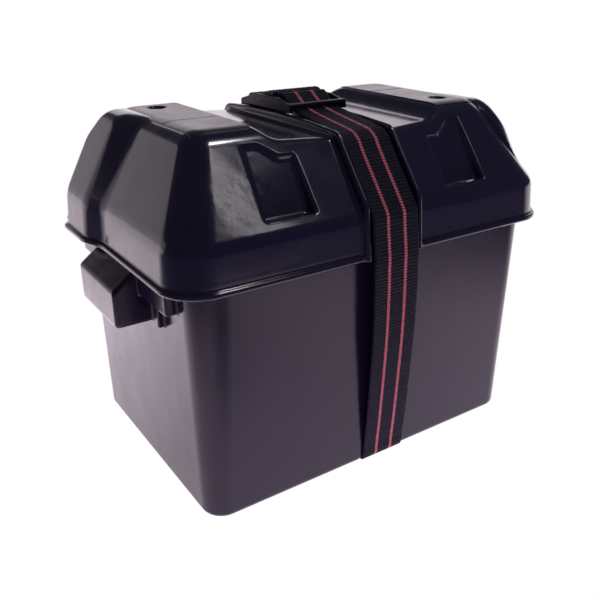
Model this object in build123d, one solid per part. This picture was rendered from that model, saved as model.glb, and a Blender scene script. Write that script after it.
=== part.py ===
from build123d import *
import os

# A moulded battery box for one Group 24 deep cycle battery: an open tub with a hollow grip on
# each end, a domed lid, a webbing strap with a cam buckle, and the battery that the box holds.
# Millimetres. The origin is the middle of the box's footprint, +Z is up, and the long side
# runs along X.

# --- driving dimensions ---------------------------------------------------------------------
TUB_BOTTOM = (139.3, 98.8, 16.0)  # half length, half width, corner radius at the base
TUB_TOP = (142.6, 102.1, 23.0)  # the same at the top edge
TUB_HEIGHT = 173.0
TUB_WALL = 3.0
TUB_FLOOR = 5.0
TUB_EDGE = 4.0  # rounding of the bottom edge

GROOVE_HALF = 20.5  # the strap's groove under the floor
GROOVE_DEPTH = 2.4

GRIP_HALF = 32.6  # half width of each grip, along Y
GRIP_REACH = 168.0  # outer face of the grip, along X
GRIP_LOW = 127.0
GRIP_SHOULDER = 153.0
GRIP_TOP = 166.5
GRIP_WALL = 3.2
LEDGE_HALF = 74.4
LEDGE_REACH = 150.5
LEDGE_LOW = 147.6
LEDGE_TOP = 172.6
RIB_OFFSET = 50.0
RIB_WIDTH = 4.0
RIB_REACH = 146.7
RIB_LOW = 130.0

RIM_Z = 167.5  # lower edge of the lid
KNEE_Z = 196.1  # the skirt turns into the slopes here
ROOF_Z = 252.8
SKIRT_LOW = (155.4, 106.4, 26.0)
SKIRT_KNEE = (153.3, 104.3, 25.0)
ROOF = (120.0, 60.0, 13.0)
LID_WALL = 3.0
BEAD_OUT = 2.5
BEAD_HEIGHT = 4.0
SEAT_GAP = 0.3  # clearance between the lid's seat and the tub's top edge
SEAT_HALF = (138.5, 98.0, 20.0)
SEAT_THICK = 3.0

VALLEY_FOOT = 66.0  # half width of the valley between the towers, at its floor
VALLEY_TOP = 75.5
VALLEY_EDGE_Z = 244.0
VALLEY_MIDDLE_Z = 241.6
SPINE_HALF = 24.3
CHANNEL_HALF = 20.4

POCKET_OUTER = 93.5  # the recess in each tower's long slope
POCKET_STEP_HIGH = 79.0
POCKET_STEP_LOW = 66.0
POCKET_INNER = 54.0
POCKET_LOW_Z = 203.0
POCKET_MID_Z = 237.5
POCKET_HIGH_Z = 246.0
POCKET_DEPTH = 6.0
POCKET_TAPER = 4.0

DIMPLE = (-97.7, 38.4)
DIMPLE_R = 6.0
DIMPLE_DEPTH = 2.5
PANEL_X = (76.2, 118.9)  # raised label panel on each tower
PANEL_HALF_Y = 58.0
PANEL_RISE = 0.4

WEB_WIDTH = 38.0
WEB_THICK = 1.8
WEB_DRIFT = 6.5  # how far the strap wanders along X on its way down
SPLIT_Z = 160.0  # height where the strap's two upper halves fold out
SPLIT_GAP = 0.3

BATTERY = (260.0, 173.0)
CASE_WALL = 4.0
CASE_TOP = 187.0
COVER_TOP = 204.0
CELLS = 6
PARTITION = 2.0
POST_Y = -56.0
STUD_Y = -28.0
VENT_Y = 12.0
POSITIVE_PLATES = 6
POSITIVE_THICK = 2.4
NEGATIVE_THICK = 1.9
SEPARATOR_THICK = 0.9
PLATE_WIDTH = 143.0
PLATE_LOW = 15.0
PLATE_HIGH = 142.0
LINK_R = 7.0
LINK_Y = 50.0
LINK_Z = 165.0


# --- helpers --------------------------------------------------------------------------------
def rounded(half_x, half_y, radius, z):
    """A rounded rectangle, centred, in the horizontal plane at height z."""
    return Plane.XY.offset(z) * RectangleRounded(2 * half_x, 2 * half_y, radius)


def drafted(low, z_low, high, z_high):
    """A solid between two rounded rectangles (half x, half y, radius) at two heights."""
    return loft([rounded(*low, z_low), rounded(*high, z_high)], ruled=True)


def between(low, z_low, high, z_high, z):
    """The rounded rectangle that a drafted solid has at height z."""
    share = (z - z_low) / (z_high - z_low)
    return tuple(a + (b - a) * share for a, b in zip(low, high))


def shrink(size, amount):
    """A rounded rectangle made smaller all round."""
    return (size[0] - amount, size[1] - amount, max(size[2] - amount, 1.0))


def block(x0, x1, y0, y1, z0, z1):
    """A box from its lowest to its highest corner."""
    return Pos((x0 + x1) / 2, (y0 + y1) / 2, (z0 + z1) / 2) * Box(x1 - x0, y1 - y0, z1 - z0)


def rod(x, y, z0, z1, radius):
    """An upright cylinder."""
    return Pos(x, y, (z0 + z1) / 2) * Cylinder(radius, z1 - z0)


def across(points, x0, x1):
    """A (y, z) outline extruded along X, from x0 to x1."""
    face = Plane.YZ.offset(x0) * make_face(Polyline(*points, close=True))
    return extrude(face, x1 - x0)


def along(points, y0, y1):
    """An (x, z) outline extruded along Y, from y0 to y1."""
    face = Plane.XZ.offset(-y0) * make_face(Polyline(*points, close=True))
    return extrude(face, y0 - y1)


def both_ends(shape):
    """A shape together with itself turned half round about Z."""
    return shape + Rot(0, 0, 180) * shape


def save(name, shape):
    export_step(shape, f"parts/{name}.step")


# --- tub ------------------------------------------------------------------------------------
def make_grip():
    """The hollow hand grip and the ledge under the lid, on the -X end."""
    wall = -TUB_BOTTOM[0] + 1.0
    grip = along(
        [(wall, GRIP_LOW), (-GRIP_REACH, GRIP_LOW), (-GRIP_REACH, GRIP_SHOULDER),
         (-LEDGE_REACH, GRIP_TOP), (wall, GRIP_TOP)],
        -GRIP_HALF, GRIP_HALF,
    )
    grip = fillet(grip.edges().filter_by(Axis.Y).group_by(Axis.X)[0], 2.5)
    inner = GRIP_REACH - GRIP_WALL
    hollow = along(
        [(wall, GRIP_LOW - 1), (-inner, GRIP_LOW - 1), (-inner, GRIP_SHOULDER - 1.5),
         (-LEDGE_REACH + GRIP_WALL, GRIP_TOP - 4.5), (wall, GRIP_TOP - 4.5)],
        -GRIP_HALF + GRIP_WALL, GRIP_HALF - GRIP_WALL,
    )
    ledge = block(-LEDGE_REACH, wall, -LEDGE_HALF, LEDGE_HALF, LEDGE_LOW, LEDGE_TOP)
    ledge = fillet(ledge.edges().filter_by(Axis.Z).group_by(Axis.X)[0], 3)
    under = block(-LEDGE_REACH + GRIP_WALL, wall, -LEDGE_HALF + GRIP_WALL, LEDGE_HALF - GRIP_WALL,
                  LEDGE_LOW - 1, LEDGE_TOP - GRIP_WALL)
    end = grip + (ledge - under)
    for side in (-1, 1):
        middle = side * RIB_OFFSET
        end += block(-RIB_REACH, wall, middle - RIB_WIDTH / 2, middle + RIB_WIDTH / 2,
                     RIB_LOW, LEDGE_TOP - 1)
    return end - hollow


def make_tub():
    """The open box, with its grips, ledges and the strap's groove under the floor."""
    outer = drafted(TUB_BOTTOM, 0, TUB_TOP, TUB_HEIGHT)
    outer = fillet(outer.edges().group_by(Axis.Z)[0], TUB_EDGE)
    floor_size = shrink(between(TUB_BOTTOM, 0, TUB_TOP, TUB_HEIGHT, TUB_FLOOR), TUB_WALL)
    hollow = drafted(floor_size, TUB_FLOOR, shrink(TUB_TOP, TUB_WALL), TUB_HEIGHT)
    hollow = fillet(hollow.edges().group_by(Axis.Z)[0], TUB_EDGE)
    tub = outer + both_ends(make_grip())
    tub -= hollow
    groove = block(WEB_DRIFT - GROOVE_HALF, WEB_DRIFT + GROOVE_HALF, -120, 120, -1, GROOVE_DEPTH)
    return tub - groove


# --- lid ------------------------------------------------------------------------------------
SLOPE = Vector(0, ROOF[1] - SKIRT_KNEE[1], KNEE_Z - ROOF_Z).normalized()
SLOPE_OUT = Vector(0, SLOPE.Z, -SLOPE.Y)  # outward normal of the long slope at -Y


def spine_outline():
    """Half outline (y, z) of the spine's two lips, from rim to crest."""
    return [(-110.8, RIM_Z), (-107.2, 204.6), (-74.1, 245.5), (-66, 246.4), (-40, 248.1),
            (0, 249.0)]


def channel_outline():
    """Half outline (y, z) of the channel floor that the strap lies in."""
    return [(-109.6, RIM_Z), (-105.6, 197.0), (-71.5, 240.2), (-64, 241.9), (-40, 243.5),
            (0, 244.6)]


def arch(half, x_half, below=()):
    """Both halves of a (y, z) outline, closed through the points below, extruded across X."""
    other = [(-y, z) for y, z in reversed(half[:-1])]
    return across(half + other + list(below), -x_half, x_half)


def dome(inset):
    """The lid's plain form: upright skirt and four slopes, moved in by inset."""
    slope_inset = inset * 1.25
    skirt = drafted(shrink(SKIRT_LOW, inset), RIM_Z, shrink(SKIRT_KNEE, inset), KNEE_Z)
    tower = drafted(shrink(SKIRT_KNEE, inset), KNEE_Z,
                    shrink(ROOF, slope_inset - inset), ROOF_Z - inset)
    return skirt + tower


def valley(inset):
    """The space between the two towers, moved down by inset."""
    edge = VALLEY_EDGE_Z - inset
    middle = VALLEY_MIDDLE_Z - inset
    foot = VALLEY_FOOT + inset
    top = VALLEY_TOP + inset
    high = ROOF_Z + 5
    flare = (top - foot) * (high - edge) / (ROOF_Z - edge)
    reach = foot + flare
    return along(
        [(-reach, high), (-foot, edge), (-SPINE_HALF, middle), (SPINE_HALF, middle),
         (foot, edge), (reach, high)],
        -90, 90,
    )


def hood(inset):
    """The bulge for the cables on the -X end's +Y half, moved in by inset."""
    sections = []
    for z, wall, reach in ((RIM_Z, 155.4, 162.2), (KNEE_Z, 153.3, 160.0), (ROOF_Z, 120.0, 129.6)):
        outline = Polyline(
            (-(wall - 6), -5 + inset), (-(reach - inset), 31 + inset * 0.5),
            (-(reach - inset), 61 - inset * 0.5), (-(wall - 6), 92 - inset), close=True,
        )
        sections.append(Plane.XY.offset(z) * make_face(outline))
    profile = [(-SKIRT_LOW[1], RIM_Z), (-SKIRT_KNEE[1], KNEE_Z), (-ROOF[1], ROOF_Z - 1 - inset)]
    return loft(sections, ruled=True) & across(
        profile + [(-y, z) for y, z in reversed(profile)], -200, 0)


def pocket(side, grow):
    """The tapered recess in a tower's -Y slope, or its inner skin when grow is over 0."""
    def outline(taper, offset):
        edge = grow - taper
        flat = [(POCKET_OUTER + edge, POCKET_LOW_Z - edge),
                (POCKET_OUTER + edge, POCKET_HIGH_Z + edge),
                (POCKET_STEP_HIGH - edge * 0.6, POCKET_HIGH_Z + edge),
                (POCKET_STEP_LOW - edge * 0.6, POCKET_MID_Z + edge),
                (POCKET_INNER - edge, POCKET_MID_Z + edge),
                (POCKET_INNER - edge, POCKET_LOW_Z - edge)]
        stretch = 1 / abs(SLOPE.Z)
        points = [(side * x, (z - KNEE_Z) * stretch) for x, z in flat]
        face = make_face(Polyline(*points, close=True))
        origin = Vector(0, -SKIRT_KNEE[1], KNEE_Z) + SLOPE_OUT * offset
        return Plane(origin=origin, x_dir=(1, 0, 0), z_dir=SLOPE_OUT) * face
    return loft([outline(-POCKET_TAPER * 0.5, 3.0), outline(POCKET_TAPER, -POCKET_DEPTH - grow)],
                ruled=True)


def make_lid():
    """The domed lid: two towers, a spine with the strap's channel, and a beaded rim."""
    pockets = both_ends(pocket(-1, 0) + pocket(1, 0))
    bumps = both_ends(pocket(-1, LID_WALL) + pocket(1, LID_WALL))
    bead = extrude(rounded(SKIRT_LOW[0] + BEAD_OUT, SKIRT_LOW[1] + BEAD_OUT,
                           SKIRT_LOW[2] + BEAD_OUT, RIM_Z), BEAD_HEIGHT)
    bead += both_ends(hood(-BEAD_OUT) & block(-200, 0, -100, 100, RIM_Z, RIM_Z + BEAD_HEIGHT))
    shell = dome(0) + both_ends(hood(0)) - valley(0) - pockets
    shell += bead + arch(spine_outline(), SPINE_HALF)
    cavity = dome(LID_WALL) - valley(LID_WALL) - bumps
    cavity += both_ends(hood(LID_WALL))
    cavity &= block(-200, 200, -200, 200, RIM_Z - 1, ROOF_Z)
    cavity -= block(-SPINE_HALF, SPINE_HALF, -120, 120, 238.2, ROOF_Z)
    seat_low = TUB_HEIGHT + SEAT_GAP
    seat = extrude(rounded(170, 115, 20, seat_low), SEAT_THICK)
    seat -= extrude(rounded(*SEAT_HALF, seat_low), SEAT_THICK)
    cavity -= seat
    lid = shell - cavity
    around = [(125, RIM_Z), (125, 262), (-125, 262), (-125, RIM_Z)]
    lid -= arch(channel_outline(), CHANNEL_HALF, around)
    for side in (-1, 1):
        low, high = sorted((side * PANEL_X[0], side * PANEL_X[1]))
        lid += block(low, high, -PANEL_HALF_Y, PANEL_HALF_Y, ROOF_Z - 0.5, ROOF_Z + PANEL_RISE)
    dimple = rod(*DIMPLE, ROOF_Z - DIMPLE_DEPTH, ROOF_Z + 1, DIMPLE_R)
    return lid - both_ends(dimple)


# --- strap ----------------------------------------------------------------------------------
SIDE_LINE = [(-112.1, SPLIT_Z - SPLIT_GAP / 2), (-111.9, 140), (-110.6, 110), (-106.6, 66),
             (-102.8, 30), (-100.5, 12), (-100.4, 3.3), (-99.0, 1.4), (-96, 1.3)]
UPPER_LINE = [(-112.1, SPLIT_Z + SPLIT_GAP / 2), (-111.9, 168), (-110.8, 176), (-109.1, 187),
              (-107.6, 196.6), (-103.4, 202.6), (-79.2, 233.2), (-75.0, 239.0), (-69.5, 242.7),
              (-61, 244.4), (-43, 246.8), (-24.5, 249.6)]


def offset_line(line, amount):
    """A (y, z) line moved sideways by amount, with its corners kept mitred."""
    moved = []
    for index, (y, z) in enumerate(line):
        before = line[max(index - 1, 0)]
        after = line[min(index + 1, len(line) - 1)]
        legs = [Vector(y - before[0], z - before[1], 0), Vector(after[0] - y, after[1] - z, 0)]
        units = [leg.normalized() for leg in legs if leg.length > 0]
        sides = [Vector(-unit.Y, unit.X, 0) for unit in units]
        middle = (sides[0] + sides[-1]).normalized()
        reach = amount / middle.dot(sides[0])
        moved.append((y + middle.X * reach, z + middle.Y * reach))
    return moved


def drift(z):
    """How far along X the strap has wandered at height z."""
    share = (SPLIT_Z - z) / (SPLIT_Z - SIDE_LINE[5][1])
    return WEB_DRIFT * min(max(share, 0), 1)


def webbing(line, half_width=WEB_WIDTH / 2):
    """A flat strap along a (y, z) line, wandering along X below the split."""
    faces_of = [offset_line(line, side * WEB_THICK / 2) for side in (-1, 1)]
    rings = []
    for (y, z), low, high in zip(line, *faces_of):
        middle = drift(z)
        rings.append([Vector(middle - half_width, *low), Vector(middle + half_width, *low),
                      Vector(middle + half_width, *high), Vector(middle - half_width, *high)])
    faces = [Face(Wire.make_polygon(rings[0])), Face(Wire.make_polygon(rings[-1]))]
    for ring, following in zip(rings, rings[1:]):
        for corner in range(4):
            beside = (corner + 1) % 4
            faces.append(Face(Wire.make_polygon([ring[corner], ring[beside], following[beside]])))
            faces.append(Face(Wire.make_polygon([ring[corner], following[beside],
                                                 following[corner]])))
    solid = Solid(Shell(faces))
    return solid if solid.volume > 0 else -solid


def mirrored(line):
    """A (y, z) line carried over to the +Y side, in the order that it runs."""
    return [(-y, z) for y, z in reversed(line)]


# --- buckle ---------------------------------------------------------------------------------
BUCKLE_SEAT = 249.35  # the buckle's cheeks stand on the lips here
CHEEK_INNER = 21.4
CHEEK_OUTER = 24.4
CHEEK_TOP = 258.5
PIN_Y = 24.0
PIN_Z = 254.6
PIN_R = 1.6
BAR_Y = -18.0
BAR_TOP = 256.2
MIDDLE_BAR = (0.5, 256.6, 1.9)  # y, z and radius of the bar that the webbing climbs over
ANCHOR_BAR = (42.5, 252.9, 1.7)  # the same for the bar that holds the sewn loop
LEVER_FRONT = 6.8
LEVER_TOP = 262.0
LEVER_HALF = 20.9
SERRATION = 2.6


def make_buckle_frame():
    """Two cheeks joined by a front bar, a middle bar, a bottom plate and a rear hood."""
    cheek = [(-20.5, 252.6), (-20.5, BAR_TOP - 0.8), (-19.6, BAR_TOP), (-14, BAR_TOP),
             (-4, CHEEK_TOP), (27, CHEEK_TOP), (48.5, 252.6), (48.5, BUCKLE_SEAT - 1.0),
             (30, BUCKLE_SEAT), (-8, BUCKLE_SEAT)]
    frame = across(cheek, -CHEEK_OUTER, -CHEEK_INNER) + across(cheek, CHEEK_INNER, CHEEK_OUTER)
    inside = CHEEK_INNER + 0.5
    bar = block(-inside, inside, -20.5, -16.0, BAR_TOP - 3.2, BAR_TOP)
    frame += fillet(bar.edges().filter_by(Axis.X), 1.0)
    for y, z, radius in (MIDDLE_BAR, ANCHOR_BAR):
        frame += Pos(0, y, z) * Rot(0, 90, 0) * Cylinder(radius, 2 * inside)
    plate = [(6, BUCKLE_SEAT), (6, 250.4), (27, 250.4), (27, BUCKLE_SEAT)]
    frame += across(plate, -inside, inside)
    roof = [(29.5, CHEEK_TOP - 2.4), (29.5, CHEEK_TOP - 0.4), (39, 255.4), (39, 253.4)]
    frame += across(roof, -inside, inside)
    bore = Pos(0, PIN_Y, PIN_Z) * Rot(0, 90, 0) * Cylinder(PIN_R, 60)
    return frame - bore


def make_pin():
    return Pos(0, PIN_Y, PIN_Z) * Rot(0, 90, 0) * Cylinder(PIN_R, 2 * CHEEK_OUTER)


def make_lever():
    """The cam lever: a serrated thumb edge in front and a barrel round the pin."""
    outline = [(LEVER_FRONT, 258.4), (LEVER_FRONT, LEVER_TOP - 1.2), (LEVER_FRONT + 1.2, LEVER_TOP),
               (13, LEVER_TOP), (24, 258.6), (27.2, 256.4), (27.2, 253.0), (24, 251.4),
               (20.6, 251.8), (18, 254.4), (12, 257.2)]
    lever = across(outline, -LEVER_HALF, LEVER_HALF)
    count = int(2 * LEVER_HALF / SERRATION)
    for index in range(count):
        x = (index - (count - 1) / 2) * SERRATION
        notch = Pos(x, 10, LEVER_TOP) * Rot(90, 0, 0) * Cylinder(SERRATION * 0.32, 12)
        lever -= notch
    bore = Pos(0, PIN_Y, PIN_Z) * Rot(0, 90, 0) * Cylinder(PIN_R + 0.06, 60)
    return lever - bore


BUCKLE_LINE = [(-24.1, 249.7), (-19, 250.8), (-14, 252.3), (-4.5, 258.0), (-0.6, 260.3),
               (2.6, 259.4), (4.4, 256.9), (4.9, 254.0), (7.4, 252.1), (15.5, 251.6)]
LOOP_LINE = [(45.9, 254.0), (46.1, 251.6), (48.0, 249.9), (56, 247.2)]


# --- battery --------------------------------------------------------------------------------
CELL_PITCH = (BATTERY[0] - 2 * CASE_WALL + PARTITION) / CELLS
CELL_LENGTH = CELL_PITCH - PARTITION
CELL_MIDDLES = [(index - (CELLS - 1) / 2) * CELL_PITCH for index in range(CELLS)]
NEGATIVE_PLATES = POSITIVE_PLATES + 1
PITCH = POSITIVE_THICK + NEGATIVE_THICK + 2 * SEPARATOR_THICK
BATTERY_FOOT = TUB_FLOOR
POST_X = (CELL_MIDDLES[0], CELL_MIDDLES[-1])


def link_side(link):
    """Which side the link between cells link and link + 1 lies on: +Y, then -Y, in turn."""
    return 1 if link % 2 == 0 else -1


def make_case():
    """The container with its five cell walls, and a window in each for the cell link."""
    half_x, half_y = BATTERY[0] / 2, BATTERY[1] / 2
    case = block(-half_x, half_x, -half_y, half_y, BATTERY_FOOT, CASE_TOP)
    case = fillet(case.edges().filter_by(Axis.Z), 4)
    for middle in CELL_MIDDLES:
        case -= block(middle - CELL_LENGTH / 2, middle + CELL_LENGTH / 2, -half_y + CASE_WALL,
                      half_y - CASE_WALL, BATTERY_FOOT + CASE_WALL, CASE_TOP)
    for link in range(CELLS - 1):
        x = (CELL_MIDDLES[link] + CELL_MIDDLES[link + 1]) / 2
        hole = Pos(x, link_side(link) * LINK_Y, LINK_Z) * Rot(0, 90, 0)
        case -= hole * Cylinder(LINK_R, PARTITION + 1)
    return case


def make_cover():
    """The cover sealed on the case, with six filler holes and two terminal holes."""
    half_x, half_y = BATTERY[0] / 2, BATTERY[1] / 2
    cover = block(-half_x, half_x, -half_y, half_y, CASE_TOP, COVER_TOP)
    cover = fillet(cover.edges().filter_by(Axis.Z), 4)
    cover = fillet(cover.faces().sort_by(Axis.Z)[-1].edges(), 2)
    cover -= block(-half_x + CASE_WALL, half_x - CASE_WALL, -half_y + CASE_WALL,
                   half_y - CASE_WALL, CASE_TOP - 1, COVER_TOP - 4)
    for middle in CELL_MIDDLES:
        cover += rod(middle, VENT_Y, COVER_TOP - 12, COVER_TOP, 12)
        cover -= rod(middle, VENT_Y, COVER_TOP - 20, COVER_TOP + 1, 9.06)
    for x in POST_X:
        cover -= rod(x, POST_Y, CASE_TOP - 1, COVER_TOP + 1, 8.0)
    return cover


def plate_x(middle, slot):
    """Middle of the plate in a cell's slot: even slots are negative, odd ones positive."""
    return middle + (slot - POSITIVE_PLATES) * PITCH / 2


def plate_group(middle, slots, thick, side):
    """Plates of one kind, hung by their lugs from a cast lead bar on one side of a cell."""
    bar_half = CELL_LENGTH / 2 - 0.6
    group = block(middle - bar_half, middle + bar_half, side * LINK_Y - 9, side * LINK_Y + 9,
                  LINK_Z - 15, LINK_Z - 9)
    for slot in slots:
        x = plate_x(middle, slot)
        group += block(x - thick / 2, x + thick / 2, -PLATE_WIDTH / 2, PLATE_WIDTH / 2,
                       PLATE_LOW, PLATE_HIGH)
        group += block(x - thick / 2, x + thick / 2, side * LINK_Y - 6, side * LINK_Y + 6,
                       PLATE_HIGH, LINK_Z - 15)
    return group


def make_separators(middle):
    """The sheets between the plates of one cell."""
    sheets = []
    for slot in range(2 * POSITIVE_PLATES):
        gap_start = plate_x(middle, slot)
        lead = NEGATIVE_THICK if slot % 2 == 0 else POSITIVE_THICK
        x = gap_start + lead / 2
        sheets.append(block(x, x + SEPARATOR_THICK, -PLATE_WIDTH / 2 - 3, PLATE_WIDTH / 2 + 3,
                            PLATE_LOW - 2, PLATE_HIGH + 3))
    return Compound(children=sheets)


def make_link(link):
    """The weld between two cells: an upright on each bar and a stub through the cell wall."""
    x = (CELL_MIDDLES[link] + CELL_MIDDLES[link + 1]) / 2
    y = link_side(link) * LINK_Y
    stub = Pos(x, y, LINK_Z) * Rot(0, 90, 0) * Cylinder(LINK_R, PARTITION)
    for side in (-1, 1):
        near = x + side * PARTITION / 2
        far = near + side * 5
        stub += block(min(near, far), max(near, far), y - 9, y + 9, LINK_Z - 9, LINK_Z + 9)
    return stub


def make_terminal(x, radius):
    """A lead casting: a column from the cell, a tapered post, and a pad with the stud's seat."""
    column = rod(x, POST_Y, LINK_Z - 9, COVER_TOP, 8.0)
    pad = block(x - 10, x + 10, POST_Y - 10, STUD_Y + 10, COVER_TOP, COVER_TOP + 4)
    pad = fillet(pad.edges().filter_by(Axis.Z), 6)
    post = Pos(x, POST_Y, COVER_TOP + 12) * Cone(radius, radius - 0.9, 16)
    return column + pad + post - rod(x, STUD_Y, COVER_TOP + 1, COVER_TOP + 5, 4.76)


def make_stud(x):
    """A steel stud standing in the terminal's pad."""
    stud = rod(x, STUD_Y, COVER_TOP + 1, COVER_TOP + 20, 4.76)
    return chamfer(stud.edges().group_by(Axis.Z)[-1], 0.8)


def make_wing_nut(x):
    """A wing nut run down on its stud."""
    low = COVER_TOP + 4.1
    nut = Pos(x, STUD_Y, low + 4) * Cone(8.2, 6.6, 8)
    for side in (-1, 1):
        wing = Polyline((side * 5, 0), (side * 11.5, 4), (side * 13.5, 12), (side * 9, 13),
                        (side * 6, 7), close=True)
        plane = Plane(origin=(x, STUD_Y + 1.4, low), x_dir=(1, 0, 0), z_dir=(0, -1, 0))
        nut += extrude(plane * make_face(wing), 2.8)
    return nut - rod(x, STUD_Y, low - 1, low + 12, 4.82)


def make_vent_gang(side):
    """Three filler plugs on one bar."""
    middles = CELL_MIDDLES[:3] if side < 0 else CELL_MIDDLES[3:]
    bar = block(middles[0] - 13, middles[-1] + 13, VENT_Y - 13, VENT_Y + 13,
                COVER_TOP + 0.2, COVER_TOP + 8)
    bar = fillet(bar.edges().filter_by(Axis.Z), 11)
    bar = fillet(bar.faces().sort_by(Axis.Z)[-1].edges(), 1.5)
    for middle in middles:
        bar += rod(middle, VENT_Y, COVER_TOP - 10, COVER_TOP + 1, 9.0)
        bar -= rod(middle, VENT_Y, COVER_TOP - 11, COVER_TOP - 2, 7.0)
    return bar


# --- written sub-parts ----------------------------------------------------------------------
os.makedirs("parts", exist_ok=True)
save("tub", make_tub())
save("lid", make_lid())
save("strap_under", webbing(SIDE_LINE + mirrored(SIDE_LINE)))
save("strap_front", webbing(UPPER_LINE))
save("strap_back", webbing(LOOP_LINE + mirrored(UPPER_LINE[:-2])))
save("strap_in_buckle", webbing(BUCKLE_LINE))
save("buckle_frame", make_buckle_frame())
save("buckle_pin", make_pin())
save("buckle_lever", make_lever())
save("battery_case", make_case())
save("battery_cover", make_cover())
for number, x_middle in enumerate(CELL_MIDDLES):
    positive_side = -1 if number % 2 == 0 else 1
    negatives = range(0, 2 * NEGATIVE_PLATES - 1, 2)
    positives = range(1, 2 * NEGATIVE_PLATES - 2, 2)
    save(f"positive_plates_{number + 1}",
         plate_group(x_middle, positives, POSITIVE_THICK, positive_side))
    save(f"negative_plates_{number + 1}",
         plate_group(x_middle, negatives, NEGATIVE_THICK, -positive_side))
    save(f"separators_{number + 1}", make_separators(x_middle))
for number in range(CELLS - 1):
    save(f"cell_link_{number + 1}", make_link(number))
for name, x_middle, radius in (("positive", POST_X[0], 8.75), ("negative", POST_X[1], 7.95)):
    save(f"terminal_{name}", make_terminal(x_middle, radius))
    save(f"stud_{name}", make_stud(x_middle))
    save(f"wing_nut_{name}", make_wing_nut(x_middle))
save("vent_plugs_left", make_vent_gang(-1))
save("vent_plugs_right", make_vent_gang(1))
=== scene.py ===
import math

import bmesh
import bpy
import numpy as np
from mathutils import Matrix, Vector


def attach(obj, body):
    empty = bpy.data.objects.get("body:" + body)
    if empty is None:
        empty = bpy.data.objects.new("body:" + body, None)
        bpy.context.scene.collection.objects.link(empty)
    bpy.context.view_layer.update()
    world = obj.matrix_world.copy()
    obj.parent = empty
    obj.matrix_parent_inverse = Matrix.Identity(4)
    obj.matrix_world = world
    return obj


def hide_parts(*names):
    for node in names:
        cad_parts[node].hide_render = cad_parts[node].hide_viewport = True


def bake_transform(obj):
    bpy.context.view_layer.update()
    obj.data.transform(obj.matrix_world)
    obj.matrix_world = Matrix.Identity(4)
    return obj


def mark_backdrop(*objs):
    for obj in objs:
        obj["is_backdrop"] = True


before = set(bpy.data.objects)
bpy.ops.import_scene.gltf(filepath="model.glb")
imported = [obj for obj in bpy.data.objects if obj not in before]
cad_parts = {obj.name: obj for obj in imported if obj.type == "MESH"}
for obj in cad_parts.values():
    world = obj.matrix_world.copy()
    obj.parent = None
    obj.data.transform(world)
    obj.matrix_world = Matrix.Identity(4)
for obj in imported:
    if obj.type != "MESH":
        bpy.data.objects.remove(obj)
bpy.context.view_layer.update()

MM = 0.001
MEET = 0.003        # corners nearer than this, in millimetres, are one corner

# --- sizes shared with the CAD, in millimetres ---------------------------------------------
RIM_Z, KNEE_Z, ROOF_Z = 167.5, 196.1, 252.8
# Half length, half width and corner radius, at the rim, the knee and the roof.
SKIRT_LOW = (155.4, 106.4, 26.0)
SKIRT_KNEE = (153.3, 104.3, 25.0)
ROOF = (120.0, 60.0, 13.0)
ROOF_SOFT = 8.5     # rounding of the roofs' blunt edges
SLOPE_SHARE = 0.83  # a level distance, as measured square to a slope
LID_WALL = 3.0
BEAD_OUT, BEAD_HEIGHT = 2.5, 4.0
SEAT_HALF = (138.5, 98.0, 20.0)
SEAT_LOW, SEAT_THICK = 173.3, 3.0
VALLEY_FOOT, VALLEY_TOP = 66.0, 75.5
VALLEY_EDGE_Z, VALLEY_MIDDLE_Z = 244.0, 241.6
SPINE_HALF, CHANNEL_HALF = 24.3, 20.4
SPINE = [(-110.8, 167.5), (-107.2, 204.6), (-74.1, 245.5), (-66, 246.4), (-40, 248.1),
         (0, 249.0)]
CHANNEL = [(-109.6, 167.5), (-105.6, 197.0), (-71.5, 240.2), (-64, 241.9), (-40, 243.5),
           (0, 244.6)]
CREST_ROUNDING = (15, 9, 60, 60)
HOOD_RIM, HOOD_KNEE, HOOD_ROOF = 162.2, 160.0, 129.6
HOOD_FRONT_RUN, HOOD_BACK_RUN, HOOD_BACK_Y = 36, 18, 70
POCKET_OUTER, POCKET_STEP_HIGH, POCKET_STEP_LOW, POCKET_INNER = 93.5, 79.0, 66.0, 54.0
POCKET_LOW_Z, POCKET_MID_Z, POCKET_HIGH_Z = 203.0, 237.5, 246.0
POCKET_DEEP, POCKET_SHALLOW, POCKET_TAPER = 7.5, 1.2, 4.0
DIMPLE = (-97.7, 38.4)
DIMPLE_R, DIMPLE_DEPTH = 6.0, 2.5
LABEL_HOLE, LABEL_GROOVE = 7.2, -15.8
PANEL_X, PANEL_HALF_Y, PANEL_CORNER, PANEL_RISE = (76.2, 118.9), 58.0, 3.0, 0.4
TUB_BOTTOM, TUB_TOP, TUB_HEIGHT = (139.3, 98.8, 16.0), (142.6, 102.1, 23.0), 173.0
TUB_WALL, TUB_FLOOR = 3.0, 5.0
GROOVE_HALF, GROOVE_DEPTH = 20.5, 2.4
GRIP_HALF, GRIP_REACH, GRIP_WALL = 32.6, 168.0, 3.2
GRIP_LOW, GRIP_SHOULDER, GRIP_TOP = 127.0, 153.0, 166.5
LEDGE_HALF, LEDGE_REACH, LEDGE_LOW, LEDGE_TOP = 74.4, 150.5, 147.6, 172.6
RIB_OFFSET, RIB_WIDTH, RIB_REACH, RIB_LOW = 50.0, 4.0, 146.7, 130.0
CHEEK_INNER, CHEEK_OUTER = 21.4, 24.4
CHEEK = [(-20.5, 250.0), (-21.3, 251.0), (-20.5, 255.4), (-19.6, 256.2), (-14, 256.2),
         (-4, 258.5), (27, 258.5), (48.5, 252.6), (48.5, 248.35), (30, 249.35), (-8, 249.6)]
BUCKLE_FRONT_BAR = ((-20.5, 253.0), (-16, 256.2))
BUCKLE_PLATE = ((6, 249.35), (27, 250.45))
BUCKLE_MIDDLE_BAR, BUCKLE_ANCHOR_BAR = (0.5, 256.6, 1.9), (42.5, 252.9, 1.7)
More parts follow.
